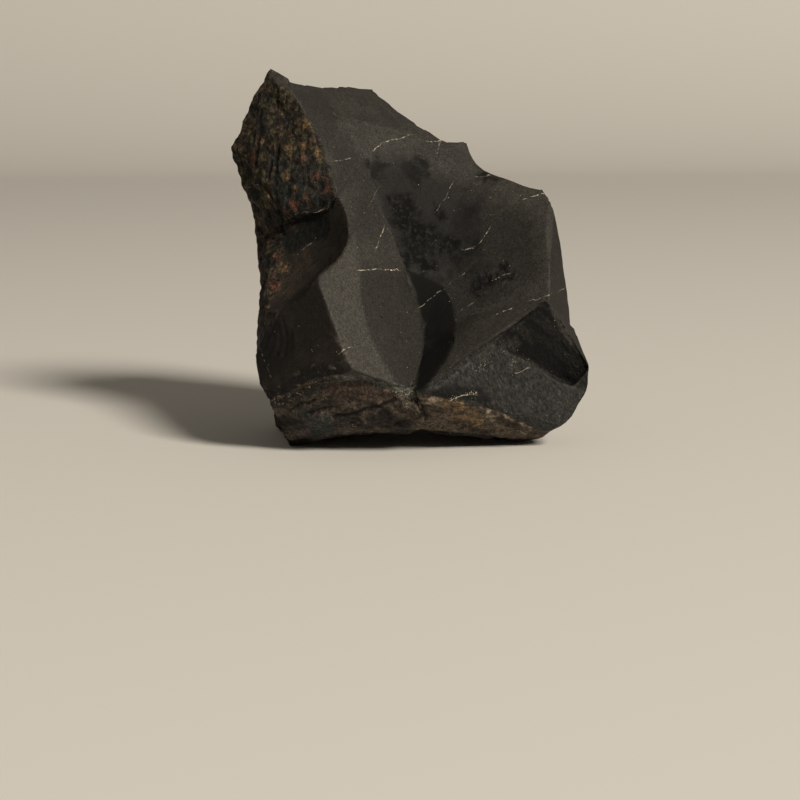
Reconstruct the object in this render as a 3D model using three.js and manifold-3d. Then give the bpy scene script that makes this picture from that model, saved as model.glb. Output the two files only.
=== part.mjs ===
// Shungite: one raw block of the stone, standing on its broken base.
// Millimetres, +Z up. The front looks along +Y, with +X to its right.
// The block takes its shape in the order that is written here: convex lumps
// between named corners are joined and flakes are struck off them. Then the skin
// is divided into small faces and given its relief.

import * as THREE from 'three';
import { ConvexGeometry } from 'three/addons/geometries/ConvexGeometry.js';
import { ImprovedNoise } from 'three/addons/math/ImprovedNoise.js';
import { mergeVertices } from 'three/addons/utils/BufferGeometryUtils.js';
import Module from 'manifold-3d';

// Driving dimensions
const WELD = 0.3;               // corners closer than this become one
const SCAR_EDGE = 13;           // longest edge of a face on a fresh scar
const ROUGH_EDGE = 7;           // longest edge of a face on the rind and the crust
const ROUNDS = 12;              // rounds of halving the long edges
const FLAT = 0.9995;            // cosine of the angle up to which two faces share a plane
const LEAN = 0.02;              // radians that a diagonal must gain before it is changed
const RIND_RELIEF = 1.6;        // height of the lumps on the weathered rind
const CRUST_RELIEF = 1.2;       // height of the layers in the crust at the foot
const BACK_RELIEF = 1.6;        // height of the swells on the back
const SCAR_RELIEF = 0.4;        // height of the swells on the fresh scars
const CORE = new THREE.Vector3(0, 12, 78);   // the relief runs out from here
const GROUND = 0;               // height of the surface that it stands on

// The shape, step by step. "join" adds the hull of its corners. "cut" strikes off a
// flake: the hull of the corners of its scar and of the same corners moved by each of
// the moves in "out". "egg" scoops out an egg: its middle, its three half lengths, its
// turn about Z and its tilt about X in degrees.
const STEPS = [
  { // the main mass
    join: [
      [-60, 34, 183], [-52, 49, 187.5], [-41, 58.5, 188], [-26, 72, 186.5],     // top edge
      [25, 35.5, 158.7], [65, 5.5, 133.5], [68, 0, 131],                        // sloping edge
      [-38, 10, 165], [-20, 0, 157], [15, 10, 148],                             // brow
      [-29, 5, 144], [-17, -14, 117], [-12, -21.5, 101], [1, -37, 66],          // left of the front
      [71, -6, 121.5], [73.5, -11, 111], [75.5, -13, 96], [77.5, -14, 81], [78.5, -12, 75],
      [77, -14, 68], [66, -18, 111], [64, -33, 94], [65, -45.5, 79.5],          // right edge
      [58, -47.5, 70], [47, -50, 64], [34, -46, 58], [17.5, -42, 55],           // foot of the front
      [-93, 45, 137], [-90, 38, 112], [-86.5, 31.5, 85], [-85.5, 31, 70],       // left outline
      [-80, 30, 2], [-72, 40, -2], [-69, 56, 2], [-66, 72, 80], [-66, 66, 150],
      [-40, 79, 168], [-40, 84, 90], [-30, 84, 30], [-15, 76, 2], [0, 80, 110],  // back
      [30, 62, 60], [45, 48, 2], [62, 38, 90], [68, 28, 20], [74, 12, 4],
      [82, 2, 40], [48, -4, -2], [52, 40, -2], [-66, -16, -2],
    ],
  },
  { // the upper scar of the front, two planes that meet in a shallow valley
    cut: [
      [-75, 20, 185], [-60, -14.5, 130], [-50, -23.5, 113], [4, -8.5, 113],
      [23, 10.8, 133], [36, 24, 147], [48, 37, 160], [67, 56, 180],
      [60, -17, 112], [95, -24, 112], [95, 46, 180],
    ],
    out: [[0, -70, 60]],
  },
  { // the wide scar below it
    cut: [
      [-75, 20, 185], [-60, -14.5, 130], [-50, -23.5, 113], [-17, -14, 117],
      [-12, -21.5, 101], [-7, -26, 89], [-2, -30, 78], [1, -37, 66], [0, -48, 45],
      [10, 8, 133], [5, -4, 113], [17, -3, 113], [6, -10, 97],
      [12, -18.5, 82], [17, -31, 68], [20, -48, 45], [33, -8, 113],
      [61, -16, 111], [62, -33, 94], [65, -46, 79.5], [47, -50, 66], [58, -56, 60],
      [30, 18, 147], [61, 12, 147], [95, -2, 147], [95, -32, 111], [95, -58, 80],
    ],
    out: [[0, -70, 60]],
  },
  { // the corner at the lower right, with the bluish face and the flare above it
    join: [
      [7, -76, 37], [15, -69.5, 44], [25, -64, 52], [34, -59.5, 59], [47, -52, 65.5],
      [58, -47.5, 73], [65, -46, 79.5], [74, -40, 62], [80, -32, 51.5],
      [12, -23, 66], [34, -27, 74], [60, -30, 82], [81, -17, 61],
      [82.5, -20, 54], [87, -27, 46], [88.5, -29, 41.5], [88, -29, 30], [83, -31, 23],
      [77, -35, 14.5], [73, -38, 12], [68, -38, 10], [60.5, -19, 1.2], [34, -35, 5.7], [16, -41, 8.7],
      [0, -44, 11], [-4, -70, 36], [18, -69, 31], [36, -60, 28], [42, -56, 24], [57, -45, 16.5],
      [18, -34.5, 66.2], [16.5, -52, 56.5], [12, -61.5, 49.5], [6.5, -70, 43], [1, -74, 39.5], [-3.5, -75, 36],
      [0, -20, 40], [70, 20, 50], [60, 10, 3], [-2, -20, 14], [80, 5, 50],
    ],
  },
  { // the scar in the lower right corner, under an overhanging edge
    cut: [
      [36, -59.5, 58.5], [47, -52, 65], [58, -47.5, 73], [65, -46, 79.5], [68.5, -42, 75],
      [74, -40, 62], [80, -32, 51.5], [88, -27, 42], [87, -33, 38], [69, -41, 40], [60, -47, 46], [50, -52, 52],
      [77, -23, 31],
    ],
    out: [[14, -60, 8]],
  },
  { // the dark valley left of it, which ends behind the rib
    cut: [
      [11, -17.5, 82], [16.5, -24.5, 75], [18, -34.5, 66.2], [16.5, -52, 56.5],
      [12, -61.5, 49.5], [6.5, -70, 43], [1, -74, 39.5], [-3.5, -75.5, 36],
      [-7, -20, 90], [-4, -19, 83], [-1, -22, 73], [1, -27, 63], [1.5, -36, 53.5], [-1, -52, 46], [-4.5, -66, 38],
    ],
    out: [[0, -70, 12]],
  },
  { // the rib left of the valley: the flank above, the pale face below
    join: [
      [-43.5, -21, 132.5], [-41.5, -29, 125], [-35, -38, 114.5], [-36, -45, 110], [-44.5, -59, 102],
      [-48.3, -67, 97], [-52, -73.5, 93.3], [-46.5, -77, 77.6], [-43, -81, 67],
      [-40, -85, 58.5], [-37, -88, 53.5], [-34, -87, 49], [-19, -75, 43.5], [-5, -69, 36.5],
      [-31.5, -51, 94.5], [-30.8, -61.5, 80.4], [-26.3, -69, 64.3], [-18.7, -72, 50], [-13.7, -74, 40],
      [-63, -66.5, 86.5], [-70, -64, 79.5], [-78, -58, 70], [-83, -55, 59], [-85, -57.5, 50],
      [-83, -58.5, 38], [-78, -56, 30], [-63, -68, 38.5], [-50, -77, 45],
      [-29, 5, 144], [-24, -3, 130], [-17, -14, 117], [-12, -21.5, 101],
      [-7, -26, 89], [-2, -31, 78], [1, -37, 66], [2, -42, 57], [1.3, -47, 52.7], [-0.5, -53, 47.6], [-2.2, -59, 42.4],
      [-86, 31, 76], [-84, 30, 40], [-20, 0, 40], [-84, 16, 105], [-50, 20, 135], [-28, 18, 140],
    ],
  },
  { egg: { at: [-157, -49.5, 121], size: [121, 76, 55], turn: 4.4, tilt: 33.4 } },  // the hollow
  { // the block of old rind at the upper left
    join: [
      [-81, 18, 193.5], [-87, 19, 186.5], [-93, 22.5, 174.5], [-101.5, 27, 155.5], [-101.5, 27, 149.5],
      [-69, 8, 187], [-64.5, 3.5, 181], [-58, -2.5, 168.5], [-51, -9.5, 157],
      [-46.5, -15.5, 145], [-43.5, -21, 132.5], [-49, -16, 123.5], [-66, -7, 121],
      [-77, 1, 126], [-83, 6, 137], [-90, 13, 144.5],
      [-52, 49, 187], [-80, 40, 182], [-95, 46, 152], [-93, 45.5, 137], [-38, 17, 165], [-29, 5, 144],
      [-26, 0, 134], [-28, 18, 150], [-36, 25, 165], [-42, 30, 174],
      [-40, 40, 110], [-70, 40, 100], [-86, 36, 105],
    ],
  },
  { // the horn on the corner
    join: [
      [-79.5, 16, 198], [-76.5, 15, 196.5], [-81.5, 18, 194], [-86, 20, 187], [-70, 12, 192.5],
      [-69.5, 12, 187], [-69, 22, 190], [-76, 28, 193], [-84, 30, 182], [-66, 26, 184], [-72, 6, 180],
    ],
  },
  { // the layered crust at the foot
    join: [
      [-78, -56, 29.5], [-72, -59.5, 33.5], [-63, -67, 39], [-52, -74.5, 43.5], [-38, -76.5, 44.5],
      [-19, -74.5, 42.5], [-4, -69.5, 36], [-69.5, -25, 0], [-73.5, -37, 12], [-58, -28, 2.5],
      [-50, -35, 6.5], [-40, -43, 9], [-19, -43.5, 10.5], [0, -45, 11], [-57, -56, 17],
      [-41, -60, 21], [-10, -59, 19], [1, -66, 23.5], [-60, 0, 5], [-20, 0, 12], [-60, 0, 40], [0, -20, 40],
    ],
  },
  { egg: { at: [-76, -76.5, 62], size: [14, 14, 17], turn: -25, tilt: 0 } },        // the thumb mark
  { // the bump on the sloping edge
    join: [
      [11, 42, 160.5], [18, 37.5, 158.3], [25, 35.5, 159.2], [29.5, 32, 154], [12, 32, 152],
      [30, 24, 146], [24, 27, 150], [10, 60, 150], [40, 45, 130],
    ],
  },
  { // the dip of the sloping edge left of the bump
    cut: [[-26, 72, 186.5], [-11, 61, 174], [3, 47, 163.5], [11, 41.5, 160], [18, 37, 157.8], [25, 35.5, 158.7]],
    out: [[-9, -13, 4], [45, 60, -25], [0, 0, 40]],
  },
  { // the dip right of the bump
    cut: [[25, 35.5, 158.7], [29.3, 32, 153.5], [39, 24, 145.5], [49, 17, 138.5], [58, 11, 135], [65, 5.5, 133.5]],
    out: [[-9, -12, 4], [45, 60, -25], [0, 0, 40]],
  },
  { egg: { at: [40, 118, 96], size: [66, 62, 70], turn: 20, tilt: 10 } },     // scars of the back
  { egg: { at: [-46, 128, 128], size: [60, 55, 66], turn: -10, tilt: -12 } },
  { egg: { at: [-30, 112, 34], size: [48, 40, 30], turn: 8, tilt: 0 } },
];
const EGG_FACE = 9;             // size of a face of an egg
const ARCH = { front: 52, back: 46, rise: 10, from: -62, to: 100, middle: -10 };   // the gap under it
const ARCH_SIDES = 40;
const SLAB = [400, 400, 40];    // what is below the ground, cut away

const wasm = await Module();
wasm.setup();

// A closed geometry as a solid that can be joined and cut
function solidOf(geometry) {
  const bare = new THREE.BufferGeometry();
  bare.setAttribute('position', geometry.getAttribute('position'));
  if (geometry.index) bare.setIndex(geometry.index);
  const merged = mergeVertices(bare);
  return new wasm.Manifold(new wasm.Mesh({
    numProp: 3,
    vertProperties: Float32Array.from(merged.getAttribute('position').array),
    triVerts: Uint32Array.from(merged.index.array),
  }));
}

function hull(corners) {
  return solidOf(new ConvexGeometry(corners.map((c) => new THREE.Vector3(...c))));
}

function flake({ cut, out }) {
  const moved = out.flatMap((move) => cut.map((c) => c.map((value, axis) => value + move[axis])));
  return hull([...cut, ...moved]);
}

function egg({ at, size, turn, tilt }) {
  const detail = Math.round(Math.max(...size) / EGG_FACE);
  const ball = new THREE.IcosahedronGeometry(1, detail);
  ball.scale(...size);
  ball.rotateX(THREE.MathUtils.degToRad(tilt));
  ball.rotateZ(THREE.MathUtils.degToRad(turn));
  ball.translate(...at);
  return solidOf(ball);
}

function arch() {
  const length = ARCH.to - ARCH.from;
  const tunnel = new THREE.CylinderGeometry(ARCH.back, ARCH.front, length, ARCH_SIDES);
  tunnel.scale(1, 1, ARCH.rise / ARCH.front);
  tunnel.translate(ARCH.middle, (ARCH.from + ARCH.to) / 2, GROUND);
  return solidOf(tunnel);
}

function ground() {
  const slab = new THREE.BoxGeometry(...SLAB);
  slab.translate(0, 0, GROUND - SLAB[2] / 2);
  return solidOf(slab);
}

function build() {
  let block = hull(STEPS[0].join);
  for (const step of STEPS.slice(1)) {
    if (step.join) block = block.add(hull(step.join));
    if (step.cut) block = block.subtract(flake(step));
    if (step.egg) block = block.subtract(egg(step.egg));
  }
  return block.subtract(arch()).subtract(ground());
}

// The skin as points and faces, with corners that nearly touch made one
function skinOf(solid) {
  const mesh = solid.getMesh();
  const geometry = new THREE.BufferGeometry();
  geometry.setAttribute('position', new THREE.Float32BufferAttribute(mesh.vertProperties, 3));
  geometry.setIndex(new THREE.Uint32BufferAttribute(mesh.triVerts, 1));
  const merged = mergeVertices(geometry, WELD);
  const position = merged.getAttribute('position');
  const points = [];
  for (let i = 0; i < position.count; i += 1) points.push(new THREE.Vector3().fromBufferAttribute(position, i));
  const faces = [];
  for (let i = 0; i < merged.index.count; i += 3) {
    const face = [0, 1, 2].map((k) => merged.index.getX(i + k));
    if (new Set(face).size === 3) faces.push(face);
  }
  return { points, faces };
}

// Each edge of the faces with the two faces that share it
function edgesOf(faces) {
  const edges = new Map();
  faces.forEach((face, index) => {
    for (let k = 0; k < 3; k += 1) {
      const ends = [face[k], face[(k + 1) % 3]];
      const key = `${Math.min(...ends)} ${Math.max(...ends)}`;
      if (!edges.has(key)) edges.set(key, { ends, sides: [] });
      edges.get(key).sides.push(index);
    }
  });
  return edges;
}

function normalOf(points, [a, b, c]) {
  return new THREE.Triangle(points[a], points[b], points[c]).getNormal(new THREE.Vector3());
}

function angleAt(points, tip, a, b) {
  return points[a].clone().sub(points[tip]).angleTo(points[b].clone().sub(points[tip]));
}

// Where two faces lie in one plane, their shared edge takes the better diagonal
function straighten({ points, faces }) {
  const edges = edgesOf(faces);
  const touched = new Set();
  for (const { ends, sides } of [...edges.values()]) {
    const [left, right] = sides;
    if (sides.length !== 2 || touched.has(left) || touched.has(right)) continue;
    const tips = sides.map((side) => faces[side].find((v) => !ends.includes(v)));
    const opposite = angleAt(points, tips[0], ...ends) + angleAt(points, tips[1], ...ends);
    if (opposite <= Math.PI + LEAN) continue;
    const newKey = `${Math.min(...tips)} ${Math.max(...tips)}`;
    if (edges.has(newKey)) continue;
    const normal = normalOf(points, faces[left]);
    if (normal.dot(normalOf(points, faces[right])) < FLAT) continue;
    const pair = [[tips[0], ends[0], tips[1]], [tips[1], ends[1], tips[0]]];
    if (pair.some((face) => normalOf(points, face).dot(normal) < FLAT)) continue;
    [faces[left], faces[right]] = pair;
    edges.set(newKey, { ends: tips, sides });
    touched.add(left).add(right);
  }
  return touched.size;
}

// Long edges are halved until every face is small enough for the place where it is
function divide(skin, longest) {
  const { points, faces } = skin;
  for (let round = 0; round < ROUNDS; round += 1) {
    for (let turn = 0; turn < 3; turn += 1) straighten(skin);
    const long = [...edgesOf(faces).values()].map(({ ends, sides }) => {
      const [a, b] = ends.map((end) => points[end]);
      const middle = a.clone().add(b).multiplyScalar(0.5);
      const normal = normalOf(points, faces[sides[0]]).add(normalOf(points, faces[sides[1]])).normalize();
      const length = a.distanceTo(b);
      return { ends, sides, middle, length, spare: longest(middle, normal) - length };
    }).filter((edge) => edge.spare < 0).sort((a, b) => b.length - a.length);
    const touched = new Set();
    for (const { ends, sides, middle } of long) {
      if (sides.some((side) => touched.has(side))) continue;
      points.push(middle);
      for (const side of sides) {
        const face = faces[side];
        const other = face.map((v) => (v === ends[1] ? points.length - 1 : v));
        faces[side] = face.map((v) => (v === ends[0] ? points.length - 1 : v));
        touched.add(side).add(faces.push(other) - 1);
      }
    }
  }
}

// The kinds of skin, from 0 to 1: old rind on the left, layered crust at the foot, the back
const fade = THREE.MathUtils.smoothstep;

function rindAt(p, n) {
  const front = fade(-n.x, 0.1, 0.3) * fade(p.z, 112, 120) * fade(-p.x, 42, 48);
  return Math.max(front, fade(-n.x, 0.75, 0.9));
}

function crustAt(p, n) {
  return fade(-n.z, 0.3, 0.5) * fade(-p.y, 10, 25);
}

function backAt(p, n) {
  return fade(n.y, 0.05, 0.3);
}

const noise = new ImprovedNoise();

function swell(x, y, z, count) {
  let sum = 0;
  for (let i = 0, f = 1; i < count; i += 1, f *= 2) sum += noise.noise(x * f, y * f, z * f) / f;
  return sum;
}

function relief(p, n) {
  const scar = SCAR_RELIEF * swell(p.x / 24, p.y / 24, p.z / 24, 1);
  const rind = RIND_RELIEF * swell(p.x / 11, p.y / 11, p.z / 19, 2);
  const crust = CRUST_RELIEF * swell(p.x / 24, p.y / 12, p.z / 8, 2);
  const back = BACK_RELIEF * swell(p.x / 26, p.y / 26, p.z / 26, 2);
  return scar + rindAt(p, n) * rind + crustAt(p, n) * crust + backAt(p, n) * back;
}

function weather({ points, faces }) {
  const skin = new THREE.BufferGeometry().setFromPoints(points);
  skin.setIndex(faces.flat());
  skin.computeVertexNormals();
  const normals = skin.getAttribute('normal');
  const normal = new THREE.Vector3();
  points.forEach((p, index) => {
    normal.fromBufferAttribute(normals, index);
    const out = p.clone().sub(CORE).normalize();
    p.addScaledVector(out, relief(p, normal) * fade(p.z, GROUND, GROUND + 6));
  });
  return new THREE.BufferGeometry().setFromPoints(points).setIndex(faces.flat());
}

const skin = skinOf(build());
divide(skin, (p, n) => THREE.MathUtils.lerp(SCAR_EDGE, ROUGH_EDGE, Math.max(rindAt(p, n), crustAt(p, n))));
const geometry = weather(skin);

// The origin is the middle of the base
geometry.computeBoundingBox();
const middle = geometry.boundingBox.getCenter(new THREE.Vector3());
geometry.translate(-middle.x, -middle.y, -geometry.boundingBox.min.z);
geometry.computeVertexNormals();

const material = new THREE.MeshStandardMaterial({ color: 0x2f2e2c, roughness: 0.72, flatShading: true });
const stone = new THREE.Mesh(geometry, material);
stone.name = 'shungite_stone';

const group = new THREE.Group();
group.add(stone);

export default group;
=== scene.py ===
# %% [markdown]
# # A block of shungite
# Shungite is a very old rock that is mostly carbon. It breaks the way coal and glass
# do, in wide smooth scars with sharp edges between them. This block has fresh scars on
# its front, old rust-stained rind on its left, thin pale veins, and a layered crust at
# its foot. Each cell below makes one part of that look and prints what it made.

# %% Load the frame
import math

import bmesh
import bpy
import numpy as np
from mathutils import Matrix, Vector, noise


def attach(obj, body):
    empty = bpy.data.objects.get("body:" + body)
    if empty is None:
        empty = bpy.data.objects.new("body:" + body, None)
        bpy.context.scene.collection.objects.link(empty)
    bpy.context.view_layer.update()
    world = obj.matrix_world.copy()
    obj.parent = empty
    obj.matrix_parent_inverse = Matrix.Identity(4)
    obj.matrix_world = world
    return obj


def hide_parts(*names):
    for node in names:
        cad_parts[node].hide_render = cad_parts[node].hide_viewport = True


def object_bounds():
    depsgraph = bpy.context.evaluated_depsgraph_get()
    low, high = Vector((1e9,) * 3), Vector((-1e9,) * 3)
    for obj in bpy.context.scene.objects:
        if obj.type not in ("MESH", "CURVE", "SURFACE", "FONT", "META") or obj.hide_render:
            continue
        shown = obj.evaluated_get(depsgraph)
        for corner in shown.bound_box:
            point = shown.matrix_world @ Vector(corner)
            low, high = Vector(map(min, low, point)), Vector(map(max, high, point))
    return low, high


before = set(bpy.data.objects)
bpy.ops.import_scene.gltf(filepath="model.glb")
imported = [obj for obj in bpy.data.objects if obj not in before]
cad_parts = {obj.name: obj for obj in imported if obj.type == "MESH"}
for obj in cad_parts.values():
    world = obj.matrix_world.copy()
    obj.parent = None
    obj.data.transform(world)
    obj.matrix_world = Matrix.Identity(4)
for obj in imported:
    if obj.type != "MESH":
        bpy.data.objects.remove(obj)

MM = 0.001
cad_low, cad_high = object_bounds()
print("solid from", [round(v / MM, 1) for v in cad_low], "to", [round(v / MM, 1) for v in cad_high], "mm")

# %% [markdown]
# ## The camera
# The block is looked at from a little above and from about six times its height away,
# so its edges hardly converge. A long lens gives that calm view. The camera comes
# first, because it decides how fine the surface has to be.

# %% Make the camera
CAMERA_PLACE = Vector((-3.3, -1182.0, 196.3)) * MM
CAMERA_LENS = 99.7              # millimetres, on a 36 mm sensor
CAMERA_DOWN = 8.44              # degrees below level
CAMERA_ROLL = 0.25              # degrees

camera_data = bpy.data.cameras.new("view")
camera_data.lens = CAMERA_LENS
camera_data.sensor_width = 36.0
camera = bpy.data.objects.new("view", camera_data)
camera.location = CAMERA_PLACE
camera.rotation_euler = (math.radians(90 - CAMERA_DOWN), math.radians(CAMERA_ROLL), 0.0)
bpy.context.scene.collection.objects.link(camera)
bpy.context.scene.camera = camera
print("camera", round(CAMERA_PLACE.length / MM), "mm from the foot of the stone")

# %% [markdown]
# ## A fine skin
# The solid has a few thousand flat faces. Real scars are smooth between their edges.
# A voxel remesh would smooth them, but it also rounds every ridge. Subdivision with
# creases keeps both: the scars turn smooth and the ridges stay sharp. Pairs of
# triangles are joined into quads first, because subdivision likes quads best.

# %% Copy the solid
QUAD_BEND = math.radians(7)     # two triangles that bend more than this stay apart
QUAD_SKEW = math.radians(50)    # and so do two that would make a crooked quad

skin = bmesh.new()
skin.from_mesh(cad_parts["shungite_stone"].data)
bmesh.ops.remove_doubles(skin, verts=skin.verts, dist=0.01 * MM)
bmesh.ops.join_triangles(skin, faces=skin.faces, angle_face_threshold=QUAD_BEND,
                         angle_shape_threshold=QUAD_SKEW)
print(len(skin.faces), "faces after the merge")

# %% Close the slot beside the rib
# A narrow slot was left between the rib and the scar on its right. The scar runs on to
# the rib there, so the points in the slot are brought forward onto the scar's plane and
# evened out among themselves, which leaves no fold between the two lips.
SLOT_X, SLOT_Z = (-4, 13.5), (34.9, 60)       # millimetres
SLOT_BACK = -20                               # points further back than this are left alone
SLOT_ROUNDS = 25
SCAR_PLANE = (-154.3, -1.391, 2.446)          # y of the scar at x = z = 0, and its rise along x and z


def behind_scar(vert):
    """How far a point of the slot lies behind the scar's plane, in millimetres."""
    x, y, z = vert.co / MM
    inside = SLOT_X[0] < x < SLOT_X[1] and SLOT_Z[0] < z < SLOT_Z[1] and y < SLOT_BACK
    return y - SCAR_PLANE[0] - SCAR_PLANE[1] * x - SCAR_PLANE[2] * z if inside else 0.0


def even_out(verts, rounds):
    """Move each point half way to the middle of its neighbours, again and again."""
    for _ in range(rounds):
        bmesh.ops.smooth_vert(skin, verts=verts, factor=0.5, use_axis_x=True, use_axis_y=True, use_axis_z=True)


slot = [v for v in skin.verts if behind_scar(v) > 0.0]
for vert in slot:
    vert.co.y -= behind_scar(vert) * MM
even_out(slot, SLOT_ROUNDS)
in_slot = set(slot)
print(len(slot), "points brought forward")

# %% Crease the ridges
RIDGE_ANGLE = math.radians(24)                # scars that meet at more than this keep a sharp ridge
BROW_LOW, BROW_LEFT = 141 * MM, -50 * MM      # above and right of this the front rolls over gently
BROW_TOP, BROW_SLOPE = 178 * MM, 1.7          # and in front of a plane that leans back down from here
SOFT_SPOTS = [(12, 86, 12, 20), (21, 68, 7, 0), (82, 45, 9, -20)]      # x, z, radius and furthest back
SOFT_ROUNDS = 12


def near(point, x, z, radius, back):
    return math.hypot(point.x / MM - x, point.z / MM - z) < radius and point.y < back * MM


def stays_soft(point):
    """Places where two scars run into each other without a ridge."""
    on_brow = point.z > BROW_LOW and point.x > BROW_LEFT and point.y < (BROW_TOP - point.z) * BROW_SLOPE
    return on_brow or any(near(point, *spot) for spot in SOFT_SPOTS)


crease = skin.edges.layers.float.new("crease_edge")
for edge in skin.edges:
    middle = (edge.verts[0].co + edge.verts[1].co) / 2
    sharp = edge.calc_face_angle(0.0) > RIDGE_ANGLE
    edge[crease] = float(sharp and not in_slot.issuperset(edge.verts) and not stays_soft(middle))
soft = [v for v in skin.verts if stays_soft(v.co)]
even_out(soft, SOFT_ROUNDS)
print(sum(edge[crease] > 0 for edge in skin.edges), "ridge edges,", len(soft), "corners in soft places")

# %% Subdivide
stone = bpy.data.objects.new("stone_skin", bpy.data.meshes.new("stone_skin"))
bpy.context.scene.collection.objects.link(stone)
skin.to_mesh(stone.data)
skin.free()
smooth = stone.modifiers.new("smooth scars", "SUBSURF")
smooth.levels = smooth.render_levels = 2
stone_mesh = bpy.data.meshes.new_from_object(stone.evaluated_get(bpy.context.evaluated_depsgraph_get()))
stone.modifiers.clear()
stone.data = stone_mesh
print(sum(len(p.vertices) - 2 for p in stone_mesh.polygons), "triangles and",
      len(stone_mesh.vertices), "points")

# %% [markdown]
# ## Where each surface lies
# A rock shows what happened to each of its faces. Weather stained the rind, the ground
# left a crust, and fresh blows left clean scars. One mask for each of these is worked
# out on the points of the mesh. The relief and the colour both read the same masks, so
# a lump of rind is always rust-coloured. The outlines are drawn on the front in X and Z.

# %% Points and small helpers
def points_of(mesh):
    flat = np.empty(len(mesh.vertices) * 3)
    mesh.vertices.foreach_get("co", flat)
    return flat.reshape(-1, 3) / MM


def normals_of(mesh):
    flat = np.empty(len(mesh.vertices) * 3, dtype=np.float32)
    mesh.vertex_normals.foreach_get("vector", flat)
    return flat.reshape(-1, 3).astype(float)


def ramp(value, low, high):
    """0 at low, 1 at high and smooth between them. Low may be the larger one."""
    share = np.clip((value - low) / (high - low), 0.0, 1.0)
    return share * share * (3.0 - 2.0 * share)


def swell(points, size, octaves=2, seed=0.0):
    """Rolling noise of about -1 to 1, whose waves have this size along X, Y and Z."""
    scaled = points / np.array(size) + seed
    return np.array([noise.fractal(Vector(p), 1.0, 2.0, octaves) for p in scaled])


def lumps(points, size, seed=0.0):
    """Pointed lumps with creases between them, 0.5 at their tops."""
    scaled = points / np.array(size) + seed
    return np.array([0.5 - noise.voronoi(Vector(p))[0][0] for p in scaled])


RAGGED_SIZE = 7                 # millimetres, the waves that make straight outlines wander

place = points_of(stone_mesh)
facing = normals_of(stone_mesh)
x, y, z = place.T
ragged = np.stack([swell(place, (RAGGED_SIZE,) * 3, 3, seed) for seed in (3.1, 17.7, 41.3)], axis=1)
print(len(place), "points, noise from", ragged.min().round(2), "to", ragged.max().round(2))


# %% Masks from lines and outlines
def from_line(points, corners, closed=False):
    """Distance to a line in X and Z, positive on its right or inside it."""
    flat = points[:, [0, 2]]
    nearest = np.full(len(flat), np.inf)
    side = np.ones(len(flat))
    inside = np.zeros(len(flat), bool)
    stops = np.array(corners, float)
    for start, stop in zip(stops, np.roll(stops, -1, axis=0)) if closed else zip(stops[:-1], stops[1:]):
        run, offset = stop - start, flat - start
        share = np.clip(offset @ run / (run @ run), 0.0, 1.0)
        gap = np.linalg.norm(offset - share[:, None] * run, axis=1)
        cross = run[0] * offset[:, 1] - run[1] * offset[:, 0]
        side = np.where(gap < nearest, np.where(cross < 0, 1.0, -1.0), side)
        nearest = np.minimum(nearest, gap)
        spans = (start[1] > flat[:, 1]) != (stop[1] > flat[:, 1])
        lean = run[0] / run[1] if run[1] else 0.0
        inside ^= spans & (flat[:, 0] < start[0] + lean * (flat[:, 1] - start[1]))
    return np.where(inside, nearest, -nearest) if closed else side * nearest


def area(corners, soft=0.8, rough=0.0, behind=30.0):
    """1 inside an outline, with a border this soft and rough, as far back as a ragged edge."""
    wandered = place + ragged * rough
    inside = ramp(from_line(wandered, corners, closed=True), -soft, soft)
    return inside * ramp(y + 12 * ragged[:, 1], behind + 14, behind)


def spots(centres, wander, tall=1.0):
    """Soft patches round (x, z, radius), whose borders wander."""
    flat = (place + wander * ragged)[:, [0, 2]]
    cover = np.zeros(len(flat))
    for middle_x, middle_z, radius in centres:
        gap = np.hypot(flat[:, 0] - middle_x, (flat[:, 1] - middle_z) / tall)
        cover = np.maximum(cover, ramp(gap, radius * 1.25, radius * 0.5))
    return cover * out_front


out_front = ramp(-facing[:, 1], -0.1, 0.1)
print(round(100 * out_front.mean()), "% of the points face the front")

# %% Outlines of the front
# Corners in X and Z, in millimetres.
RIND_EDGE = [(-75, 199), (-73, 194), (-69, 191), (-65, 188), (-58, 181), (-51, 169), (-44, 157), (-40, 145),
             (-36.5, 132), (-35, 126), (-43, 124), (-53, 122), (-60, 120), (-65, 116), (-66, 108),
             (-66, 100), (-61, 94.5), (-66, 89), (-68, 83), (-71, 78), (-73, 72)]
HOLLOW = [(-34, 126), (-32, 117), (-29, 112), (-32, 106), (-36, 101), (-42, 96), (-52, 88), (-60, 81),
          (-65, 76), (-71, 69), (-84, 66), (-90, 120), (-60, 124)]
LEDGE = [(-67, 122), (-53, 123), (-42, 124), (-40, 119), (-41, 110), (-51, 107), (-58, 102), (-62, 101),
         (-66, 106)]
LOWER_LEFT = [(-42, 97), (-52, 88), (-60, 81), (-65, 76), (-71, 69), (-90, 66), (-90, 25), (-71, 29),
              (-54, 38), (-46, 43), (-31, 46), (-28, 49), (-33, 58), (-36, 67), (-40, 77), (-45, 93)]
VALLEY = [(19, 84), (23.5, 75), (25, 66.5), (23, 57), (19, 50), (13.5, 44), (9, 38), (6, 33), (2.6, 32),
          (4.2, 38), (6, 45), (7.7, 52), (8.4, 56.5), (8.2, 62.5), (6.8, 71), (4.2, 82), (-0.3, 93)]
DARK_SCAR = [(41, 59), (55, 68), (72, 79.5), (76, 70), (82, 59), (95, 45), (96, 30), (81, 35.5), (59, 49.5)]
BLUISH = [(4, 36), (14, 43), (26, 50), (41, 59), (59, 49.5), (81, 35.5), (96, 30), (94, 20), (76, 8),
          (59, 14.5), (48, 21), (35, 27), (25, 30), (14, 33)]
BLUISH_DARK = [(11, 34), (17, 38.5), (27, 38), (38, 36), (43, 31), (43, 28), (35, 29), (25, 31)]
MAIN_SCAR = [(-14, 151), (7, 147), (29, 138), (50, 128), (64, 120), (70, 110), (68, 90), (44, 76), (28, 60),
             (4, 36), (9, 57), (0, 90), (-10, 104), (-16, 118), (-20, 135), (-18, 146)]
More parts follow.
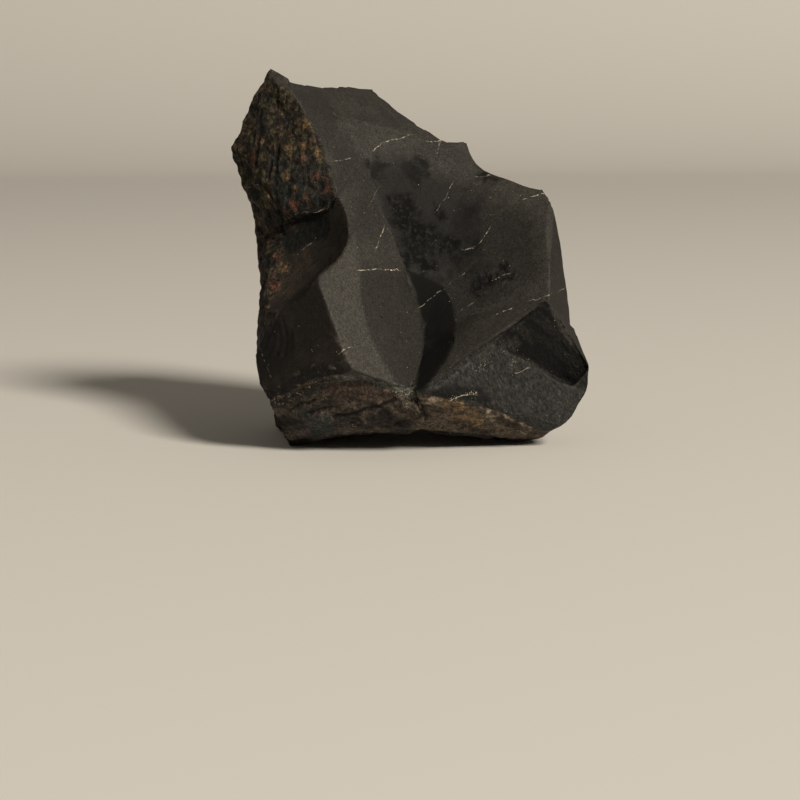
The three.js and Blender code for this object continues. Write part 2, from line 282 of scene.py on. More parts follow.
DARK_CORE = [(-17, 140), (-2, 148), (22, 138), (38, 127), (38, 108), (27, 97), (16, 88), (4, 90), (-8, 104),
             (-15, 118)]
PALE_STRIP = [(-42, 96.5), (-36, 101), (-31, 106), (-27, 114), (-24.5, 100), (-24, 80), (-19, 64),
              (-12, 50), (-5, 38), (-12, 42), (-27, 49), (-33, 56), (-38, 70), (-41, 80), (-46, 93)]
RIB = [(-24, 98), (2, 104), (10, 60), (6, 36), (-5, 38), (-12, 50), (-19, 64), (-24, 80)]
CRUST_TOP = [(-110, 22), (-80, 26), (-71, 29), (-62, 33), (-54, 38), (-46, 43), (-31, 46), (-21, 45),
             (-12, 42), (-4, 39), (3, 36), (14, 32.5), (25, 30), (35, 27), (48, 21.5), (59, 15), (70, 8),
             (110, 6)]
CRUST_LIP = [(-110, 2), (-52, 5), (-40, 8), (-24, 10), (-9, 10.5), (12, 11), (33, 9), (55, 4), (110, -2)]

# %% Masks
left_facing = ramp(-facing[:, 0], 0.62, 0.85)
right_facing = ramp(facing[:, 0], 0.45, 0.6)
old_left = left_facing * ramp(z, 60, 80) * ramp(x, -55, -68)
rind = np.maximum(area(RIND_EDGE + [(-110, 70), (-110, 200)], 0.6, 1.6, 52), old_left)
crust_gap = from_line(place + ragged, CRUST_TOP)        # millimetres below the top of the crust
crust = ramp(crust_gap, -0.7, 0.7) * ramp(y + 16 * ragged[:, 1], 44, 20)
bare = (1 - rind) * (1 - crust)
rusty = crust * ramp(x + 3 * ragged[:, 0], 0, 8)
rim = ramp(crust_gap, -0.8, 0.4) * ramp(crust_gap, 5.0, 2.5) * ramp(x, 6, 2) * ramp(-facing[:, 1], 0.2, 0.4)
hollow = area(HOLLOW) * bare
ledge = area(LEDGE, 1.0, 1.0) * hollow
lower_left = area(LOWER_LEFT) * bare * ramp(facing[:, 0], 0.35, 0.15)
valley = area(VALLEY) * (1 - crust)
dark_scar = area(DARK_SCAR, 0.5, 0.3) * (1 - crust)
bluish = area(BLUISH, 0.8, 0.6) * (1 - crust) * (1 - dark_scar) * (1 - valley)
main_scar = area(MAIN_SCAR, 6.0, 3.0) * ramp(facing[:, 0], 0.5, 0.3) * (1 - bluish) * (1 - dark_scar)
dark_core = area(DARK_CORE, 8.0, 4.0) * main_scar
right_facet = ramp(facing[:, 0], 0.5, 0.7) * ramp(x, 60, 68) * (1 - dark_scar) * (1 - bluish) * (1 - crust)
pale = area(PALE_STRIP, 0.9, 0.3) * (1 - lower_left) * (1 - hollow) * (1 - crust)
rib = area(RIB, 1.2, 0.3) * ramp(facing[:, 0], 0.45, 0.55) * ramp(z, 100, 90)
rib *= (1 - pale) * (1 - crust) * (1 - valley)
flank = right_facing * ramp(z, 100, 120) * ramp(x, 5, -5) * (1 - rind)
back = ramp(facing[:, 1], 0.1, 0.4)
print("rind covers", round(100 * rind.mean(), 1), "% of the points, crust", round(100 * crust.mean(), 1),
      "%, hollow", round(100 * hollow.mean(), 1), "%, bluish scar", round(100 * bluish.mean(), 1), "%")

# %% [markdown]
# ## Relief
# The masks now push the points in and out along their normals. The rind is lumpy, with
# furrows that run down it. The crust is a pile of thin layers, so its noise is squashed
# across them. Fresh scars keep long quiet swells, a few pitted patches, and the ripples
# that a blow leaves, as on broken glass. Sculpting by hand could do the same, but
# formulas stay the same each run.

# %% Rind and crust
CRACK = [(-69, 158), (-70, 142), (-70, 129), (-67, 117)]
BROKEN_EDGE = [(-78, 137), (-73, 131), (-69, 124), (-66, 110)]
CRUST_CRACKS = [
    [(2, 37), (5, 29), (10, 20)],
    [(-50, 24), (-42, 26), (-35, 27)],
    [(-38, 21), (-26, 24), (-14, 27), (-6, 31)],
    [(-12, 13), (-1, 18), (7, 22)],
    [(-62, 24), (-55, 27), (-47, 31)],
]

RIND_HIGH, LAYERS_HIGH = 0.9, 0.8             # millimetres
FURROW_DEEP, CRACK_DEEP, CRUST_CRACK_DEEP = 0.9, 1.0, 1.2
NOTCH_DEEP, KNOB_HIGH = 3.5, 2.5              # a bite out of the left outline, and the knob below it
SCAR_SWELL, SCAR_GRAIN, BACK_SWELL = 0.25, 0.12, 0.9

rind_relief = RIND_HIGH * (swell(place, (5, 5, 6), 3, 5.0) + lumps(place, (5, 5, 6), 2.0))
furrows = -FURROW_DEEP * ramp(swell(place, (2.6, 2.6, 26), 2, 9.0), 0.25, 0.7) * ramp(x, -60, -70)
for crack in (CRACK, BROKEN_EDGE):
    furrows -= CRACK_DEEP * ramp(np.abs(from_line(place + ragged, crack)), 1.6, 0.2)
depth = np.stack([x, y * 0.4, crust_gap + ragged[:, 2]], axis=1)      # runs down through the layers
layers = LAYERS_HIGH * swell(depth, (18, 18, 4.0), 3, 7.0) + 0.9 * swell(place, (6, 6, 4.2), 3, 11.0)
crack_gap = np.min([np.abs(from_line(place + 1.5 * ragged, crack)) for crack in CRUST_CRACKS], axis=0)
layers -= CRUST_CRACK_DEEP * ramp(crack_gap, 1.8, 0.2)
notch = NOTCH_DEEP * ramp(np.linalg.norm(place - (-88, 22, 145), axis=1), 14, 3)
knob = KNOB_HIGH * ramp(np.linalg.norm(place - (-83, 22, 131), axis=1), 9, 2)
quiet = SCAR_SWELL * swell(place, (16, 16, 16), 2, 13.0) + SCAR_GRAIN * swell(place, (4, 4, 4), 2, 15.0)
relief = quiet + knob - notch + rind * (rind_relief + furrows) + crust * layers
relief += back * BACK_SWELL * swell(place, (9, 9, 9), 4, 19.0)
print("relief from", relief.min().round(2), "to", relief.max().round(2), "mm")

# %% Pitted patches and dark stains on the fresh scars
PITTED = [(1, 100, 6), (-18, 145, 6), (-6, 127, 5), (-2, 119, 7), (5, 113, 7), (12, 108, 7), (2, 103, 6),
          (9, 97, 6), (22, 104, 6), (17, 119, 4), (7, 143, 6), (44, 142, 4), (40, 86, 6), (52, 90, 3),
          (-30, 152, 4)]
STAINED = [(31, 120, 8), (-20, 98, 5), (5, 144, 9), (40, 86, 10), (-18, 144, 9), (44, 142, 7), (8, 108, 17),
           (-3, 121, 12), (30, 100, 12), (14, 92, 10), (-45, 170, 8)]

PIT_DEEP, GOUGE_DEEP = 1.6, 1.3               # millimetres

fresh_right = ramp(facing[:, 0], 0.62, 0.45) * bare
pitted = spots(PITTED, 6.0) * fresh_right * (1 - 0.55 * ramp(z, 126, 138))      # fainter at the top
stained = spots(STAINED, 5.0) * fresh_right
pits = ramp(lumps(place, (3.2, 3.2, 3.2), 23.0), 0.12, 0.42)
gouges = ramp(swell(place, (5, 5, 5), 3, 25.0), -0.1, 0.5)
relief -= pitted * (PIT_DEEP * pits + GOUGE_DEEP * gouges)
print(round(100 * pitted.mean(), 1), "% pitted,", round(100 * stained.mean(), 1), "% stained")

# %% Ripples of the blows, and the broken band over the crust
THUMB_MARK = (-77.5, 62.0)      # the arcs of the small scar at the left run round this
ARC_STEP = 3.4                  # millimetres between two arcs
ARC_HIGH, STREAK_HIGH = 0.22, 0.35            # millimetres

thumb = np.hypot(x - THUMB_MARK[0], (z - THUMB_MARK[1]) * 0.8)
arcs = lower_left * ramp(thumb, 20, 16) * ramp(z, 48, 54) * ramp(z, 76, 70)
arcs = arcs * np.sin(thumb / ARC_STEP * 2 * math.pi)
streak = (x * 30 + z * 39) / 49.2             # across the long side of the dark scar
streaks = swell(np.stack([streak, streak * 0, x * 0.12], axis=1), (2.6, 1, 2.6), 3, 27.0)
broken_band = ramp(-crust_gap, 9.0, 4.0) * ramp(x, -28, -36) * lower_left
relief += ARC_HIGH * arcs + dark_scar * STREAK_HIGH * streaks
relief += broken_band * (0.7 * lumps(place, (7, 7, 4), 33.0) + 0.5 * swell(place, (5, 5, 3), 3, 35.0))
print("arcs reach over", int((np.abs(arcs) > 0.5).sum()), "points")

# %% Chipped ridges
CHIPPED_ANGLE = math.radians(16)              # edges that stick out more than this are chipped
CHIP_DEEP = 0.7                               # millimetres

work = bmesh.new()
work.from_mesh(stone_mesh)
work.verts.ensure_lookup_table()
ridge = np.zeros(len(work.verts))
for edge in work.edges:
    if edge.is_manifold and edge.calc_face_angle_signed() > CHIPPED_ANGLE:
        for vert in edge.verts:
            ridge[vert.index] = 1.0
work.free()
ridge *= 1 - valley
whole = ramp(np.hypot(x - 14, (z - 66) * 0.6), 12, 18)                # the valley's ridge has no chips
relief -= ridge * whole * (1 - rind) * CHIP_DEEP * ramp(swell(place, (3.4, 3.4, 3.4), 2, 29.0), 0.1, 0.5)
print(int(ridge.sum()), "points on ridges")

# %% Push the points out, but never through the ground or out of the solid's box
BASE_CALM = (0.3, 5.0)          # millimetres up, between which the relief grows to its full height
INSET = 0.05                    # millimetres that the skin keeps inside the box

relief *= ramp(z, *BASE_CALM)
lowest = np.array(cad_low) / MM + [INSET, INSET, 0]
highest = np.array(cad_high) / MM - INSET
carved = np.clip(place + facing * relief[:, None], lowest, highest)
stone_mesh.vertices.foreach_set("co", (carved * MM).ravel())
stone_mesh.update()
for polygon in stone_mesh.polygons:
    polygon.use_smooth = True
print("moved by", round(float(np.abs(relief).mean()), 2), "mm on average,",
      round(float(np.abs(relief).max()), 2), "at most")

# %% [markdown]
# ## Colour
# Shungite is charcoal grey where it is fresh. Old faces are stained by iron: rust, ochre
# and olive over black. Each patch of colour is laid over the last one, as a painter
# would, and the result is kept on the points. Points lie a little over a millimetre
# apart, so patches of three millimetres and more come out well. The material adds all
# that is finer.

# %% Laying one colour over another
def linear(code):
    """An sRGB hex colour as linear red, green, blue and alpha."""
    channels = [int(code[i:i + 2], 16) / 255 for i in (1, 3, 5)]
    return [c / 12.92 if c <= 0.04045 else ((c + 0.055) / 1.055) ** 2.4 for c in channels] + [1.0]


def lay(under, coats):
    """Lay each colour over the ones before it, where and as thickly as its share says."""
    for code, share in coats:
        under = under + np.clip(share, 0.0, 1.0)[:, None] * (np.array(linear(code)[:3]) - under)
    return under


tint = np.tile(linear("#302e2a")[:3], (len(place), 1))                # fresh charcoal grey
cloud = swell(place, (20, 20, 20), 3, 51.0)
fleck = swell(place, (5, 5, 5), 3, 53.0)
cloudy = cloud + 0.6 * fleck
print("clouds from", cloud.min().round(2), "to", cloud.max().round(2))

# %% Fresh scars
bluish_dark = area(BLUISH_DARK, 1.0, 1.0) * bluish
# The upper part of the valley, where the lamp lights it, gets painted shade.
upper_valley = valley * ramp(z, 56, 70)
old_back = back * (1 - rind)
tint = lay(tint, [
    ("#35332e", ramp(cloudy, -0.4, 0.4)),                             # lighter clouds in it
    ("#201f1c", 0.85 * main_scar),
    ("#131210", 0.9 * dark_core),
    ("#24221f", right_facet),
    ("#2a2825", flank),
    ("#3b3934", pale),
    ("#272522", rib),
    ("#0a0908", 0.9 * stained * ramp(fleck, -0.5, 0.2)),              # black stains
    # painted shade over the upper valley, where the lamp lights it
    ("#0b0b0a", 0.8 * upper_valley),
    ("#161513", pitted),
    # painted shade: the valley is painted near black for the shade it lies in, over its own dark colour
    ("#070706", valley),
    # painted shade: the dark scar is painted almost black, as the shade it lies in
    ("#030303", dark_scar),
    ("#0f0e0c", dark_scar * ramp(streaks, 0.0, 0.5)),
    ("#262624", bluish),
    ("#0c0e0d", bluish_dark),
    ("#46433d", 0.3 * ridge * (1 - rind)),                            # painted highlight, a paler line along the ridges where they catch the light
    ("#262019", 0.7 * old_back),
    ("#3a2e22", 0.8 * old_back * ramp(cloud + 0.7 * fleck, -0.1, 0.35)),      # brown stain on the back
])
print("fresh scars laid")

# %% Stained hollow, lower left scar and dark scar
SLANT = (0.67, 0.74)            # across the grooves of the dark scar, in X and Z

slant = np.stack([SLANT[0] * x + SLANT[1] * z, y, SLANT[1] * x - SLANT[0] * z], axis=1)
grooves = swell(slant, (3.0, 60, 26), 2, 91.0)
tint = lay(tint, [
    ("#211d18", hollow),                                              # thin brown stain over black
    ("#312a23", hollow * ramp(cloudy, -0.3, 0.4)),
    ("#16120e", lower_left),
    ("#211c17", lower_left * ramp(cloudy, -0.3, 0.4)),
    ("#0d0f0d", ledge),
    ("#3a2e24", ledge * spots([(-61, 115, 3)], 2.0)),
    ("#090907", ledge * ramp(swell(place, (2.6, 2.6, 22), 2, 55.0), -0.05, 0.3)),
    ("#0b0907", 0.8 * lower_left * ramp(thumb, 22, 12)),
    ("#070605", 0.8 * np.maximum(-arcs, 0)),                          # painted shade in the troughs of the arcs
    ("#0b0908", broken_band * ramp(fleck, -0.7, -0.1)),
    ("#544d44", broken_band * ramp(swell(place, (6, 6, 2.5), 3, 57.0), 0.3, 0.6)),
    ("#1f1e1b", 0.6 * dark_scar * ramp(grooves, 0.0, 0.4)),
    ("#2e2c29", 0.5 * dark_scar * spots([(47, 59, 5), (53, 58, 4)], 4.0)),
])
print("stained scars laid")

# %% Rind
TEAL = [(-72, 152), (-62, 153), (-45, 150), (-38, 140), (-36, 128), (-50, 123), (-66, 120), (-70, 135)]
OCHRE_SPOTS = [(-63, 156, 2.4), (-62, 152, 2.0), (-55, 158, 2.4), (-48, 155, 2.0), (-45, 152, 1.8),
               (-65, 141, 2.2), (-59, 137, 1.8), (-59, 133, 1.6), (-54, 168, 2.4), (-74, 132, 3.0),
               (-65, 94, 2.0), (-52, 127, 2.0)]
RED_SPOTS = [(-55, 149, 1.7), (-51, 138, 2.2), (-48, 143, 1.8), (-43, 139, 2.2), (-54, 132, 1.6),
             (-60, 128, 2.4), (-63, 124, 2.0), (-70, 87, 2.4), (-68, 99, 2.0), (-41, 136, 2.2),
             (-61, 114, 2.0), (-83, 150, 2.4)]
BARE_SPOTS = [(-79, 172, 4.0), (-81, 177, 3.0), (-76, 166, 3.0), (-65, 170, 2.5), (-45, 130, 2.5),
              (-83, 131, 3.0), (-74, 118, 4.0), (-73, 97, 3.0), (-72, 152, 2.5)]

teal = area(TEAL, 3.0, 4.0)
browner = rind * (1 - teal)
upper = browner * ramp(z, 112, 128)
olive = ramp(lumps(place + ragged, (3.6, 3.6, 4.6), 61.0), 0.04, 0.18)
ochre = ramp(lumps(place + ragged, (4.2, 4.2, 5.4), 63.0), 0.12, 0.24)
rust = ramp(lumps(place + ragged, (5.6, 5.6, 7.0), 65.0), 0.08, 0.2)
broken_up = rind * ramp(fleck, -0.5, 0.1)
tint = lay(tint, [
    ("#1d1a16", rind),                                                # black-brown under everything
    ("#2b2620", rind * ramp(fleck, -0.1, 0.3)),
    ("#1f2220", rind * teal),                                         # bare grey-green skin
    ("#2a2823", rind * teal * ramp(cloud + fleck, 0.0, 0.4)),
    ("#3e3c2a", 0.85 * upper * olive),
    ("#4b402d", 0.7 * browner * ochre),
    ("#43342b", 0.6 * browner * rust),
    ("#171614", rind * spots(BARE_SPOTS, 3.0, 1.4)),
    ("#5a4830", 0.9 * broken_up * spots(OCHRE_SPOTS, 3.0, 1.3)),
    ("#573629", 0.85 * broken_up * spots(RED_SPOTS, 3.0, 1.4)),
    ("#0e0c0a", 0.8 * rind * ramp(-furrows, 0.2, 0.8)),               # dark furrows
])
print("rind laid,", round(100 * (rind * teal).sum() / rind.sum(), 1), "% of it grey-green")

# %% Crust
RED_PATCH = [(-37, 36, 5), (-30, 36, 6), (-22, 36, 5), (-16, 33, 5)]
BLUE_PATCH = [(-51, 22, 4), (-44, 20, 5), (-42, 14, 5), (-48, 13, 4)]
DARK_PATCH = [(-14, 20, 6), (-5, 17, 5), (-28, 22, 5), (4, 26, 3), (-55, 14, 4), (12, 24, 3)]
BRIGHT_OCHRE = [(20, 30, 4), (28, 25, 5), (33, 18, 5), (24, 18, 3)]
PINK_GREY = [(45, 22, 5), (53, 17, 5), (62, 11, 4), (13, 31, 4)]

bands = swell(depth, (20, 20, 6.0), 3, 71.0)
chips = swell(place, (6, 6, 3), 3, 73.0)
pale_part = ramp(x, -42, -36)                 # the rim is pale here, and sparkles left of here
sparkling_part = ramp(x, -36, -42)
tint = lay(tint, [
    ("#2e2a26", crust),                                               # brown-grey layers
    ("#413a33", crust * ramp(bands, -0.1, 0.4)),
    ("#1a1714", crust * ramp(bands, -0.15, -0.45)),
    ("#3e322b", 0.8 * crust * spots(RED_PATCH, 4.0)),
    ("#2a2e2c", 0.9 * crust * spots(BLUE_PATCH, 4.0)),
    ("#1b1714", 0.8 * crust * spots(DARK_PATCH, 5.0)),
    ("#4b4e48", rim * pale_part * ramp(chips, -0.5, 0.1)),
    ("#1c1916", rim * sparkling_part),
    ("#3f372f", crust * sparkling_part * ramp(crust_gap, 1.6, 0.4)),
    ("#4b4238", rusty),
    ("#68543b", rusty * spots(BRIGHT_OCHRE, 5.0) * ramp(chips, -0.4, 0.3)),
    ("#8a7d6f", rusty * spots(PINK_GREY, 4.0)),
    ("#231d17", 0.8 * rusty * ramp(bands + 0.5 * chips, 0.15, 0.5)),
    ("#0d0b09", 0.9 * crust * ramp(crack_gap, 1.3, 0.3)),             # dark cracks
    ("#100e0c", crust * ramp(from_line(place, CRUST_LIP), -0.4, 0.4)),        # painted shade on the lip along the foot
])
print("crust laid, mean colour", tint.mean(axis=0).round(3))

# %% [markdown]
# ## Veins
# Quartz seeped into hairline cracks and left thin cream lines. A line of half a
# millimetre is finer than the mesh, so it isn't drawn with points. Each point keeps its
# signed distance to the nearest vein, and the material draws the line where that
# distance passes through nought, however thin the line is.

# %% Distance to the nearest vein
VEINS = [                       # how bright it is, and its corners in X and Z
    (1.0, [(-24, 95.5), (-15, 95), (-6, 94)]),
    (0.9, [(-18, 155), (-13, 158), (-7, 159.5), (3, 162)]),
    (0.9, [(9, 158.5), (19, 159), (29, 160)]),
    (0.5, [(19, 158), (16, 152)]),
    (0.7, [(44, 113), (41, 108), (36, 104), (31, 102.5)]),
    (0.5, [(16, 123), (20, 128), (22, 131), (25, 137)]),
    (0.5, [(6, 73), (11, 77), (18, 82)]),
    (0.3, [(19, 83), (25, 87), (31, 91)]),
    (0.7, [(46, 88.5), (54, 91)]),
    (1.0, [(64, 129), (75, 132)]),
    (0.7, [(64, 78.5), (75, 82.5)]),
    (0.8, [(46, 71.5), (55, 74.5)]),
    (0.7, [(-12, 115), (-16, 105)]),
    (0.5, [(-15, 135), (-19, 128)]),
    (0.7, [(-34, 57), (-28, 60)]),
    (0.4, [(80, 82), (86, 83)]),
    (0.8, [(20, 31), (27, 32), (34, 33)]),
    (0.6, [(56, 42), (62, 45)]),
    (0.7, [(-60, 121), (-53, 122.5), (-42, 124.5)]),
    (0.4, [(-55, 103.5), (-51, 107)]),
    (0.3, [(-76, 57), (-72, 48), (-70, 41)]),
    (0.5, [(-38, 149), (-31, 151)]),
    (0.6, [(-84, 135), (-79, 137)]),
    (0.5, [(37, 140), (45, 140.5), (51, 141)]),
    (0.3, [(28, 72), (36, 78)]),
]
VEIN_REACH = 2.2                # millimetres from its line within which a vein may be drawn
VEIN_WANDER = 1.1

wavy = place + VEIN_WANDER * np.roll(ragged, 1, axis=1)
vein, strength = np.full(len(place), np.inf), np.zeros(len(place))
for bright, corners in VEINS:
    offset = from_line(wavy, corners)
    closer = np.abs(offset) < np.abs(vein)
    vein[closer], strength[closer] = offset[closer], bright
vein_gate = strength * ramp(np.abs(vein), VEIN_REACH, VEIN_REACH * 0.5) * out_front
vein = np.clip(vein, -20.0, 20.0)
print(len(VEINS), "veins near", int((vein_gate > 0.1).sum()), "points")

# %% Keep it all on the mesh
FLECKED = [(36, 47, 3), (41, 50, 2), (49, 55, 3), (57, 47, 3), (61, 46, 2), (-33, 14, 2), (-28, 15, 3),
           (-6, 35, 4), (-1, 35, 3), (-2, 28, 2), (24, 32, 3), (32, 34, 3), (-31, 58, 2)]
WALL_RIM = [(-42, 97), (-52, 89), (-60, 82), (-65, 77), (-71, 70)]

wall_rim = np.abs(from_line(place, WALL_RIM)) + 1.2 * ragged[:, 0]
crumbling = rind + 0.8 * ledge + 0.65 * crust + 0.9 * pitted + broken_band + 0.4 * back
kept = {
    "rough": np.clip(crumbling + 0.2 * dark_scar + 0.3 * bluish, 0, 1),
    "brushed": np.clip(dark_scar + 0.8 * bluish, 0, 1) * ramp(-facing[:, 1], 0.2, 0.4),
    "dull": np.clip(rind + crust + ledge + dark_scar + pitted + upper_valley, 0, 1),
    "pitted": pitted,
    "vein": vein,
    "vein_gate": vein_gate,
    "wall_rim": wall_rim,
    "wall_gate": hollow * (1 - ledge) * ramp(wall_rim, 12, 5),
    "sparkle": np.clip(rim * sparkling_part + spots(FLECKED, 3.0), 0, 1),
}
for name, values in kept.items():
    stone_mesh.attributes.new(name, "FLOAT", "POINT").data.foreach_set("value", values.astype(np.float32))
painted = np.concatenate([tint, np.ones((len(tint), 1))], axis=1).astype(np.float32)
stone_mesh.attributes.new("tint", "FLOAT_COLOR", "POINT").data.foreach_set("color", painted.ravel())
print(len(kept), "masks and one colour kept on", len(tint), "points")

# %% [markdown]
# ## The stone's material
# Broken shungite is dull: its carbon is full of fine quartz grain, so light is spread
# and not mirrored. The index is set near that of quartz, 1.5, and the gloss is turned
# down, because the grain shades itself. The rind is duller still. The material reads the
# colour from the points and adds grain, crumbs with painted shade, specks of quartz with
# painted glints, and the veins.

# %% A node adder and the material
shungite = bpy.data.materials.new("shungite_broken_and_weathered")
shungite.use_nodes = True
tree = shungite.node_tree
gloss = tree.nodes["Principled BSDF"]


def add(kind, sockets=(), out=0, **settings):
    """Add a node, fill its sockets with numbers, colours or other outputs, and give one output back."""
    made = tree.nodes.new(kind)
    for name, value in settings.items():
        setattr(made, name, value)
    for socket, value in dict(sockets).items():
        if isinstance(value, bpy.types.NodeSocket):
            tree.links.new(value, made.inputs[socket])
        else:
            made.inputs[socket].default_value = value
    return made.outputs[out]


place_mm = add("ShaderNodeMapping", {"Vector": add("ShaderNodeTexCoord", out="Object"), "Scale": (MM,) * 3},
               vector_type="TEXTURE")
mask = {name: add("ShaderNodeAttribute", out="Fac", attribute_name=name) for name in kept}
painted_colour = add("ShaderNodeAttribute", out="Color", attribute_name="tint")
print(len(mask), "masks read by", shungite.name)

# %% Patterns
# The sizes are in millimetres and were given one by one. The stone's own grain was never
# measured. It is too fine to show in the render, so the dust that stands for it is drawn
# coarser, as coarse as it needs to be to show.
BRUSH_LEAN = math.radians(52)   # the brushed scars are streaked this far below level
PATTERNS = {                    # name: size in millimetres, detail, stretch in Z, lean
    "dust": (0.8, 3.0, 1.0, 0.0),
    "grit": (1.5, 4.0, 1.2, 0.0),
    "crumb": (2.4, 5.0, 1.15, 0.0),
    "ripple": (3.5, 4.0, 1.0, 0.0),
    "brush": (1.1, 4.0, 7.0, BRUSH_LEAN - math.pi / 2),
}

pattern = {}
for name, (size, detail, tall, lean) in PATTERNS.items():
    spot = add("ShaderNodeMapping", {"Vector": place_mm, "Location": (size * 10,) * 3, "Rotation": (0, lean, 0),
                                     "Scale": (size, size, size * tall)}, vector_type="TEXTURE")
    pattern[name] = add("ShaderNodeTexNoise", {"Vector": spot, "Scale": 1.0, "Detail": detail}, out="Fac")
print("patterns", ", ".join(pattern))

# %% Grain, crumbs and painted shade in the colour
# Each pattern makes the colour darker and lighter. On rough surfaces, which are full of
# little shadows, the crumbs and the grit do so more strongly, as painted shade and painted
# light. The crumbs' painted shade falls in the low spots of their own bump.
CRUMB_DARK, CRUMB_LIGHT = {"To Min": 0.84, "To Max": 0.35}, {"To Min": 1.16, "To Max": 1.8}
GRIT_DARK, GRIT_LIGHT = {"To Min": 0.95, "To Max": 0.6}, {"To Min": 1.05, "To Max": 1.4}
BRUSH_STRENGTH = 4.0
PIT_BLACK = linear("#050505")

dusty = add("ShaderNodeMapRange", {"Value": pattern["dust"], "From Min": 0.36, "From Max": 0.64,
                                   "To Min": 0.62, "To Max": 1.54})
darkest = add("ShaderNodeMapRange", {"Value": mask["rough"], **CRUMB_DARK})
lightest = add("ShaderNodeMapRange", {"Value": mask["rough"], **CRUMB_LIGHT})
grit_dark = add("ShaderNodeMapRange", {"Value": mask["rough"], **GRIT_DARK})
grit_light = add("ShaderNodeMapRange", {"Value": mask["rough"], **GRIT_LIGHT})
gritty = add("ShaderNodeMapRange", {"Value": pattern["grit"], "From Min": 0.36, "From Max": 0.64,
                                    "To Min": grit_dark, "To Max": grit_light})
crumbly = add("ShaderNodeMapRange", {"Value": pattern["crumb"], "From Min": 0.34, "From Max": 0.66,
                                     "To Min": darkest, "To Max": lightest})
brush_swing = add("ShaderNodeMath", {0: pattern["brush"], 1: 0.5}, operation="SUBTRACT")
brush_share = add("ShaderNodeMath", {0: mask["brushed"], 1: BRUSH_STRENGTH}, operation="MULTIPLY")
brushed = add("ShaderNodeMath", {0: brush_swing, 1: brush_share, 2: 1.0}, operation="MULTIPLY_ADD")
shade = add("ShaderNodeMath", {0: dusty, 1: crumbly}, operation="MULTIPLY")
shade = add("ShaderNodeMath", {0: shade, 1: gritty}, operation="MULTIPLY")
shade = add("ShaderNodeMath", {0: shade, 1: brushed}, operation="MULTIPLY")
shade = add("ShaderNodeMath", {0: shade, 1: 0.0}, operation="MAXIMUM")
colour = add("ShaderNodeVectorMath", {0: painted_colour, "Scale": shade}, operation="SCALE")
# Painted shade: on the pitted patches the low spots of the crumbs are painted black.
pit = add("ShaderNodeMapRange", {"Value": pattern["crumb"], "From Min": 0.58, "From Max": 0.5,
                                 "To Max": mask["pitted"]})
colour = add("ShaderNodeMix", {0: pit, 6: colour, 7: PIT_BLACK}, out=2, data_type="RGBA")
print("colour shaded by grain")

# %% Quartz specks and flecks, with painted glints
# The pale specks and the flecks are painted glints of quartz. The dark specks are not.
SPECKS = [                      # millimetres from one to the next, radius, share left out, colour
    (3.2, 0.26, 0.55, "#8f897d"),
    (6.5, 0.60, 0.60, "#0b0a09"),
]
FLECK_COLOUR = linear("#8f8676")

for step, radius, left_out, code in SPECKS:
    lattice = {"Vector": place_mm, "Scale": 1 / step}
    off_speck = add("ShaderNodeTexVoronoi", lattice, out="Distance")
    on_speck = add("ShaderNodeMath", {0: off_speck, 1: radius / step}, operation="LESS_THAN")
    draw = add("ShaderNodeSeparateColor", {0: add("ShaderNodeTexVoronoi", lattice, out="Color")})
    chosen = add("ShaderNodeMapRange", {"Value": draw, "From Min": left_out})
    share = add("ShaderNodeMath", {0: on_speck, 1: chosen}, operation="MULTIPLY")
    colour = add("ShaderNodeMix", {0: share, 6: colour, 7: linear(code)}, out=2, data_type="RGBA")
flecks = add("ShaderNodeMapRange", {"Value": pattern["dust"], "From Min": 0.56, "From Max": 0.62})
sparse = add("ShaderNodeMapRange", {"Value": pattern["ripple"], "From Min": 0.46, "From Max": 0.56,
                                    "To Max": mask["sparkle"]})
flecks = add("ShaderNodeMath", {0: flecks, 1: sparse}, operation="MULTIPLY")
colour = add("ShaderNodeMix", {0: flecks, 6: colour, 7: FLECK_COLOUR}, out=2, data_type="RGBA")
print(len(SPECKS), "kinds of speck drawn")

# %% Veins
# The veins are hairlines, too thin to measure. They are drawn up to 0.6 mm wide, which is
# as thin as they can be and still show, and beaded, because they come and go.
VEIN_HALF = 0.30                # millimetres from its middle to its edge, at its widest
QUARTZ = linear("#c2b8a4")

beads = add("ShaderNodeMapRange", {"Value": pattern["grit"], "From Min": 0.4, "From Max": 0.64,
                                   "To Max": VEIN_HALF})
off_vein = add("ShaderNodeMath", {0: mask["vein"]}, operation="ABSOLUTE")
on_vein = add("ShaderNodeMath", {0: off_vein, 1: beads}, operation="LESS_THAN")
strong = add("ShaderNodeMapRange", {"Value": pattern["ripple"], "From Min": 0.4, "From Max": 0.6,
                                    "To Min": 0.15})
vein_share = add("ShaderNodeMath", {0: on_vein, 1: mask["vein_gate"]}, operation="MULTIPLY")
vein_share = add("ShaderNodeMath", {0: vein_share, 1: strong}, operation="MULTIPLY")
colour = add("ShaderNodeMix", {0: vein_share, 6: colour, 7: QUARTZ}, out=2, data_type="RGBA")
tree.links.new(colour, gloss.inputs["Base Color"])
print("veins drawn")

# %% Gloss and fine relief
STRIA_STEP = 1.7                # millimetres between the fine rings on the hollow's wall
STRIA_HIGH, CRUMB_HIGH, RIPPLE_HIGH, DUST_HIGH = 0.08, 1.6, 0.25, 0.12        # millimetres
SCAR_ROUGH, RIND_ROUGH = 0.72, 0.9

